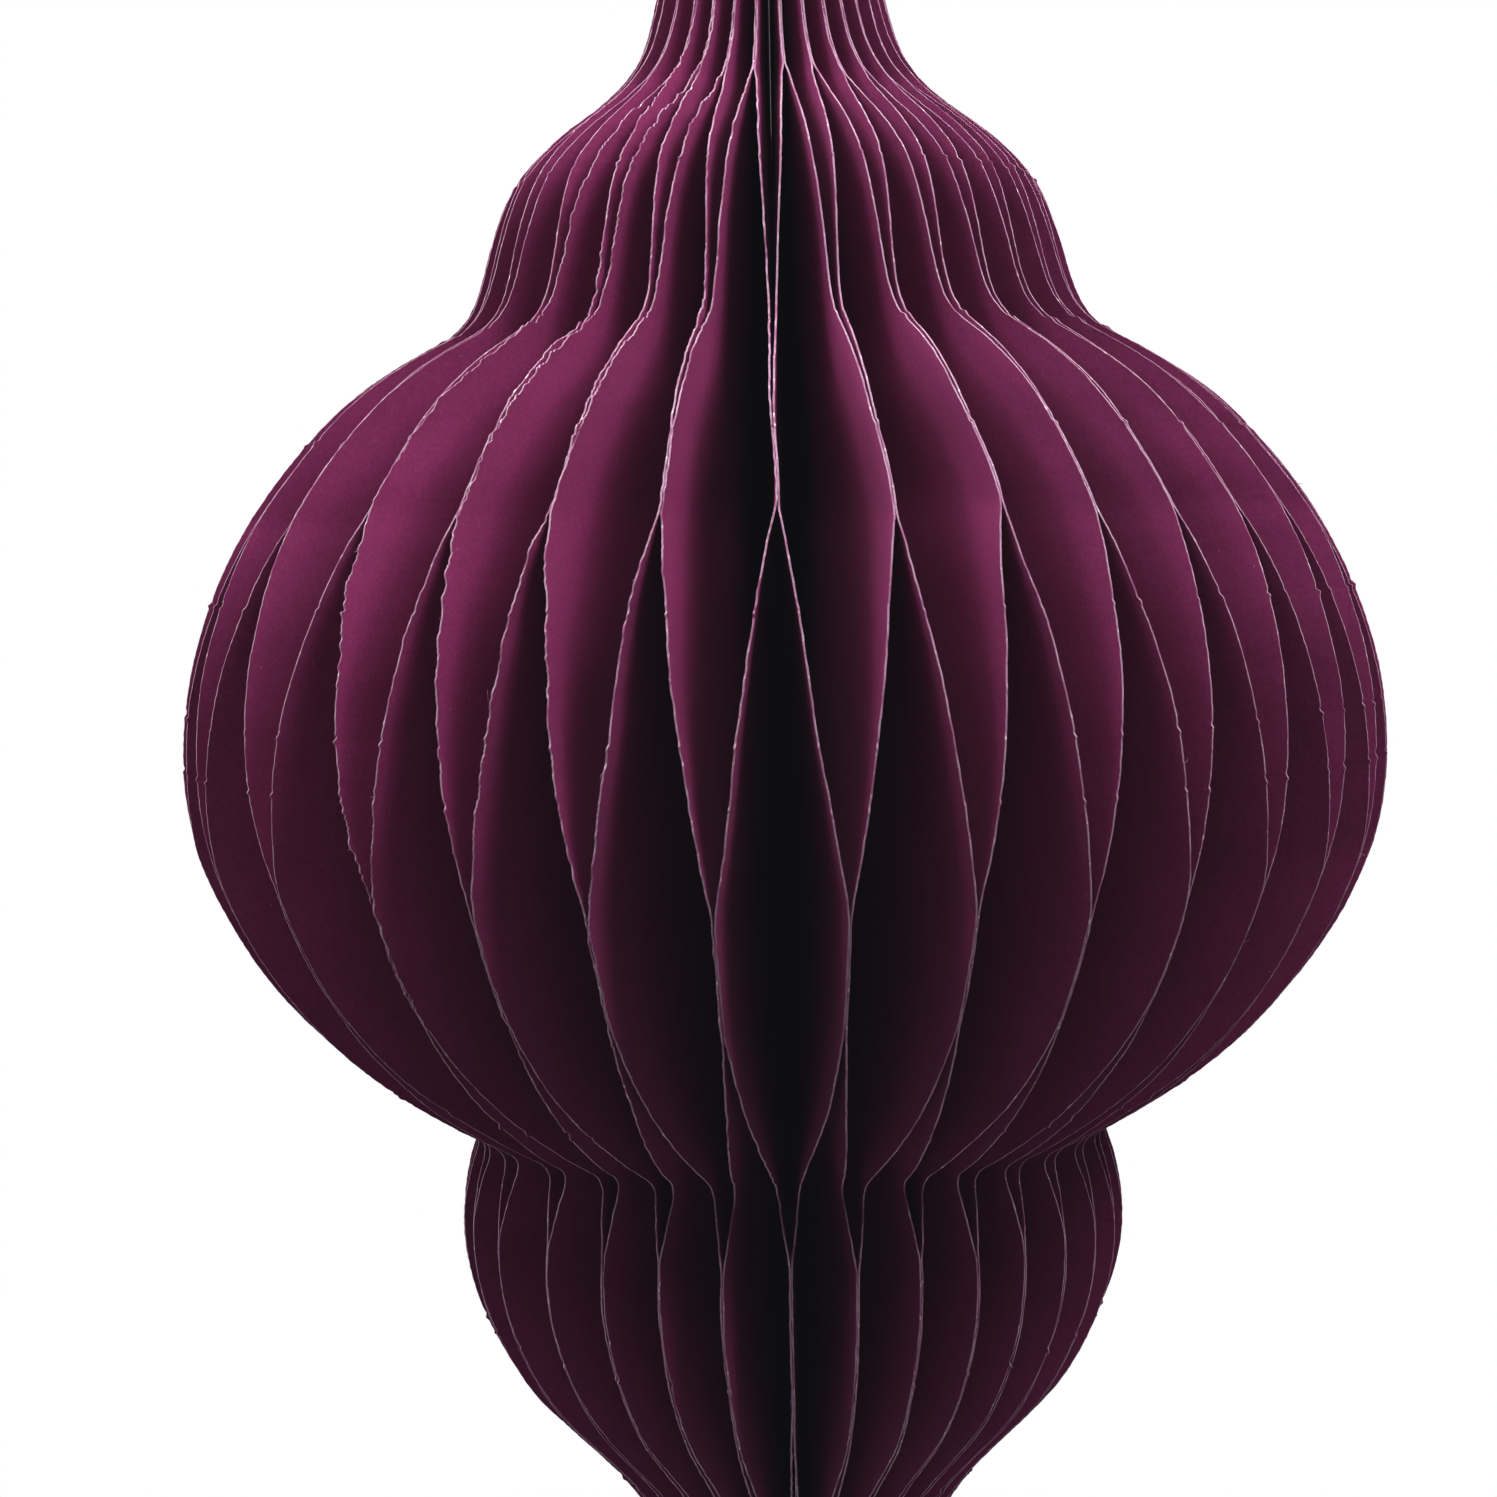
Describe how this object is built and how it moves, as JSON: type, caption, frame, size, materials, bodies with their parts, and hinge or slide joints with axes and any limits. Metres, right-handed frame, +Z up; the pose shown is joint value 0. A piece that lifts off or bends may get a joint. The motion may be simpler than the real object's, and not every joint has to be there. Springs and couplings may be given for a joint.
{
  "type": "paper honeycomb lantern ball",
  "caption": "Fold-flat honeycomb ornament of glued paper leaves: narrow neck, shoulder, large round bulge, small lower bulge and tapering tail.",
  "frame": {"origin": "point that the ball hangs from: the middle of its spine at the top of the neck, on the ball's axis", "axes": "+Z up along the spine; the covers meet at the back, +Y; the pictured side faces -Y"},
  "size_m": [0.1402, 0.1396, 0.235],
  "materials": {
    "leaf_paper": "matte, uncoated, soft",
    "cover_card": "matte",
    "magnet_nickel": "nickel plated"
  },
  "bodies": {
    "left_cover": {"cover_left": "cover_card", "magnet_left_upper": "magnet_nickel", "magnet_left_middle": "magnet_nickel", "magnet_left_lower": "magnet_nickel"},
    "leaf_pair_01": {"leaf_pair_01": "leaf_paper"},
    "leaf_pair_02": {"leaf_pair_02": "leaf_paper"},
    "leaf_pair_03": {"leaf_pair_03": "leaf_paper"},
    "leaf_pair_04": {"leaf_pair_04": "leaf_paper"},
    "leaf_pair_05": {"leaf_pair_05": "leaf_paper"},
    "leaf_pair_06": {"leaf_pair_06": "leaf_paper"},
    "leaf_pair_07": {"leaf_pair_07": "leaf_paper"},
    "leaf_pair_08": {"leaf_pair_08": "leaf_paper"},
    "leaf_pair_09": {"leaf_pair_09": "leaf_paper"},
    "leaf_pair_10": {"leaf_pair_10": "leaf_paper"},
    "leaf_pair_11": {"leaf_pair_11": "leaf_paper"},
    "leaf_pair_12": {"leaf_pair_12": "leaf_paper"},
    "leaf_pair_13": {"leaf_pair_13": "leaf_paper"},
    "leaf_pair_14": {"leaf_pair_14": "leaf_paper"},
    "leaf_pair_15": {"leaf_pair_15": "leaf_paper"},
    "leaf_pair_16": {"leaf_pair_16": "leaf_paper"},
    "leaf_pair_17": {"leaf_pair_17": "leaf_paper"},
    "leaf_pair_18": {"leaf_pair_18": "leaf_paper"},
    "leaf_pair_19": {"leaf_pair_19": "leaf_paper"},
    "leaf_pair_20": {"leaf_pair_20": "leaf_paper"},
    "leaf_pair_21": {"leaf_pair_21": "leaf_paper"},
    "leaf_pair_22": {"leaf_pair_22": "leaf_paper"},
    "leaf_pair_23": {"leaf_pair_23": "leaf_paper"},
    "leaf_pair_24": {"leaf_pair_24": "leaf_paper"},
    "leaf_pair_25": {"leaf_pair_25": "leaf_paper"},
    "leaf_pair_26": {"leaf_pair_26": "leaf_paper"},
    "leaf_pair_27": {"leaf_pair_27": "leaf_paper"},
    "leaf_pair_28": {"leaf_pair_28": "leaf_paper"},
    "leaf_pair_29": {"leaf_pair_29": "leaf_paper"},
    "leaf_pair_30": {"leaf_pair_30": "leaf_paper"},
    "leaf_pair_31": {"leaf_pair_31": "leaf_paper"},
    "right_cover": {"cover_right": "cover_card", "magnet_right_upper": "magnet_nickel", "magnet_right_middle": "magnet_nickel", "magnet_right_lower": "magnet_nickel"}
  },
  "joints": [
    {"name": "fold_01", "type": "hinge", "parent": "left_cover", "child": "leaf_pair_01", "pos_m": [-0.00086, 0.00333, 0], "axis": [0, 0, -1], "range_deg": [0, 13.37]},
    {"name": "fold_02", "type": "hinge", "parent": "leaf_pair_01", "child": "leaf_pair_02", "pos_m": [-0.00154, 0.00317, 0], "axis": [0, 0, -1], "range_deg": [0, 12.95]},
    {"name": "fold_03", "type": "hinge", "parent": "leaf_pair_02", "child": "leaf_pair_03", "pos_m": [-0.00217, 0.00286, 0], "axis": [0, 0, -1], "range_deg": [0, 12.53]},
    {"name": "fold_04", "type": "hinge", "parent": "leaf_pair_03", "child": "leaf_pair_04", "pos_m": [-0.00271, 0.00242, 0], "axis": [0, 0, -1], "range_deg": [0, 12.11]},
    {"name": "fold_05", "type": "hinge", "parent": "leaf_pair_04", "child": "leaf_pair_05", "pos_m": [-0.00315, 0.00188, 0], "axis": [0, 0, -1], "range_deg": [0, 11.69]},
    {"name": "fold_06", "type": "hinge", "parent": "leaf_pair_05", "child": "leaf_pair_06", "pos_m": [-0.00347, 0.00126, 0], "axis": [0, 0, -1], "range_deg": [0, 11.26]},
    {"name": "fold_07", "type": "hinge", "parent": "leaf_pair_06", "child": "leaf_pair_07", "pos_m": [-0.00367, 0.00058, 0], "axis": [0, 0, -1], "range_deg": [0, 10.84]},
    {"name": "fold_08", "type": "hinge", "parent": "leaf_pair_07", "child": "leaf_pair_08", "pos_m": [-0.00373, -0.00011, 0], "axis": [0, 0, -1], "range_deg": [0, 10.42]},
    {"name": "fold_09", "type": "hinge", "parent": "leaf_pair_08", "child": "leaf_pair_09", "pos_m": [-0.00367, -0.00081, 0], "axis": [0, 0, -1], "range_deg": [0, 10]},
    {"name": "fold_10", "type": "hinge", "parent": "leaf_pair_09", "child": "leaf_pair_10", "pos_m": [-0.00349, -0.00149, 0], "axis": [0, 0, -1], "range_deg": [0, 9.58]},
    {"name": "fold_11", "type": "hinge", "parent": "leaf_pair_10", "child": "leaf_pair_11", "pos_m": [-0.00319, -0.00212, 0], "axis": [0, 0, -1], "range_deg": [0, 14.5]},
    {"name": "fold_12", "type": "hinge", "parent": "leaf_pair_11", "child": "leaf_pair_12", "pos_m": [-0.00275, -0.00266, 0], "axis": [0, 0, -1], "range_deg": [0, 13.7]},
    {"name": "fold_13", "type": "hinge", "parent": "leaf_pair_12", "child": "leaf_pair_13", "pos_m": [-0.00219, -0.00309, 0], "axis": [0, 0, -1], "range_deg": [0, 10.2]},
    {"name": "fold_14", "type": "hinge", "parent": "leaf_pair_13", "child": "leaf_pair_14", "pos_m": [-0.00157, -0.0034, 0], "axis": [0, 0, -1], "range_deg": [0, 10.2]},
    {"name": "fold_15", "type": "hinge", "parent": "leaf_pair_14", "child": "leaf_pair_15", "pos_m": [-0.0009, -0.0036, 0], "axis": [0, 0, -1], "range_deg": [0, 10.2]},
    {"name": "fold_16", "type": "hinge", "parent": "leaf_pair_15", "child": "leaf_pair_16", "pos_m": [-0.0002, -0.00368, 0], "axis": [0, 0, -1], "range_deg": [0, 10.8]},
    {"name": "fold_17", "type": "hinge", "parent": "leaf_pair_16", "child": "leaf_pair_17", "pos_m": [0.0005, -0.00363, 0], "axis": [0, 0, -1], "range_deg": [0, 10.3]},
    {"name": "fold_18", "type": "hinge", "parent": "leaf_pair_17", "child": "leaf_pair_18", "pos_m": [0.00118, -0.00345, 0], "axis": [0, 0, -1], "range_deg": [0, 10.2]},
    {"name": "fold_19", "type": "hinge", "parent": "leaf_pair_18", "child": "leaf_pair_19", "pos_m": [0.00181, -0.00316, 0], "axis": [0, 0, -1], "range_deg": [0, 9.8]},
    {"name": "fold_20", "type": "hinge", "parent": "leaf_pair_19", "child": "leaf_pair_20", "pos_m": [0.00239, -0.00276, 0], "axis": [0, 0, -1], "range_deg": [0, 9.6]},
    {"name": "fold_21", "type": "hinge", "parent": "leaf_pair_20", "child": "leaf_pair_21", "pos_m": [0.00289, -0.00227, 0], "axis": [0, 0, -1], "range_deg": [0, 10.1]},
    {"name": "fold_22", "type": "hinge", "parent": "leaf_pair_21", "child": "leaf_pair_22", "pos_m": [0.0033, -0.0017, 0], "axis": [0, 0, -1], "range_deg": [0, 10.4]},
    {"name": "fold_23", "type": "hinge", "parent": "leaf_pair_22", "child": "leaf_pair_23", "pos_m": [0.00359, -0.00107, 0], "axis": [0, 0, -1], "range_deg": [0, 10.38]},
    {"name": "fold_24", "type": "hinge", "parent": "leaf_pair_23", "child": "leaf_pair_24", "pos_m": [0.00377, -0.00039, 0], "axis": [0, 0, -1], "range_deg": [0, 10.63]},
    {"name": "fold_25", "type": "hinge", "parent": "leaf_pair_24", "child": "leaf_pair_25", "pos_m": [0.00383, 0.00031, 0], "axis": [0, 0, -1], "range_deg": [0, 10.89]},
    {"name": "fold_26", "type": "hinge", "parent": "leaf_pair_25", "child": "leaf_pair_26", "pos_m": [0.00374, 0.001, 0], "axis": [0, 0, -1], "range_deg": [0, 11.14]},
    {"name": "fold_27", "type": "hinge", "parent": "leaf_pair_26", "child": "leaf_pair_27", "pos_m": [0.00353, 0.00167, 0], "axis": [0, 0, -1], "range_deg": [0, 11.4]},
    {"name": "fold_28", "type": "hinge", "parent": "leaf_pair_27", "child": "leaf_pair_28", "pos_m": [0.00319, 0.00228, 0], "axis": [0, 0, -1], "range_deg": [0, 11.65]},
    {"name": "fold_29", "type": "hinge", "parent": "leaf_pair_28", "child": "leaf_pair_29", "pos_m": [0.00273, 0.00281, 0], "axis": [0, 0, -1], "range_deg": [0, 11.91]},
    {"name": "fold_30", "type": "hinge", "parent": "leaf_pair_29", "child": "leaf_pair_30", "pos_m": [0.00217, 0.00323, 0], "axis": [0, 0, -1], "range_deg": [0, 12.16]},
    {"name": "fold_31", "type": "hinge", "parent": "leaf_pair_30", "child": "leaf_pair_31", "pos_m": [0.00154, 0.00353, 0], "axis": [0, 0, -1], "range_deg": [0, 12.42]},
    {"name": "fold_32", "type": "hinge", "parent": "leaf_pair_31", "child": "right_cover", "pos_m": [0.00086, 0.00368, 0], "axis": [0, 0, -1], "range_deg": [0, 12.67]}
  ],
  "couplings": [
    {"joint": "fold_02", "follows": "fold_01", "ratio": 0.96849},
    {"joint": "fold_03", "follows": "fold_01", "ratio": 0.93698},
    {"joint": "fold_04", "follows": "fold_01", "ratio": 0.90547},
    {"joint": "fold_05", "follows": "fold_01", "ratio": 0.87396},
    {"joint": "fold_06", "follows": "fold_01", "ratio": 0.84246},
    {"joint": "fold_07", "follows": "fold_01", "ratio": 0.81095},
    {"joint": "fold_08", "follows": "fold_01", "ratio": 0.77944},
    {"joint": "fold_09", "follows": "fold_01", "ratio": 0.74793},
    {"joint": "fold_10", "follows": "fold_01", "ratio": 0.71642},
    {"joint": "fold_11", "follows": "fold_01", "ratio": 1.0844},
    {"joint": "fold_12", "follows": "fold_01", "ratio": 1.0246},
    {"joint": "fold_13", "follows": "fold_01", "ratio": 0.76285},
    {"joint": "fold_14", "follows": "fold_01", "ratio": 0.76285},
    {"joint": "fold_15", "follows": "fold_01", "ratio": 0.76285},
    {"joint": "fold_16", "follows": "fold_01", "ratio": 0.80772},
    {"joint": "fold_17", "follows": "fold_01", "ratio": 0.77033},
    {"joint": "fold_18", "follows": "fold_01", "ratio": 0.76285},
    {"joint": "fold_19", "follows": "fold_01", "ratio": 0.73293},
    {"joint": "fold_20", "follows": "fold_01", "ratio": 0.71798},
    {"joint": "fold_21", "follows": "fold_01", "ratio": 0.75537},
    {"joint": "fold_22", "follows": "fold_01", "ratio": 0.77781},
    {"joint": "fold_23", "follows": "fold_01", "ratio": 0.77612},
    {"joint": "fold_24", "follows": "fold_01", "ratio": 0.79519},
    {"joint": "fold_25", "follows": "fold_01", "ratio": 0.81426},
    {"joint": "fold_26", "follows": "fold_01", "ratio": 0.83333},
    {"joint": "fold_27", "follows": "fold_01", "ratio": 0.8524},
    {"joint": "fold_28", "follows": "fold_01", "ratio": 0.87147},
    {"joint": "fold_29", "follows": "fold_01", "ratio": 0.89055},
    {"joint": "fold_30", "follows": "fold_01", "ratio": 0.90962},
    {"joint": "fold_31", "follows": "fold_01", "ratio": 0.92869},
    {"joint": "fold_32", "follows": "fold_01", "ratio": 0.94777}
  ]
}
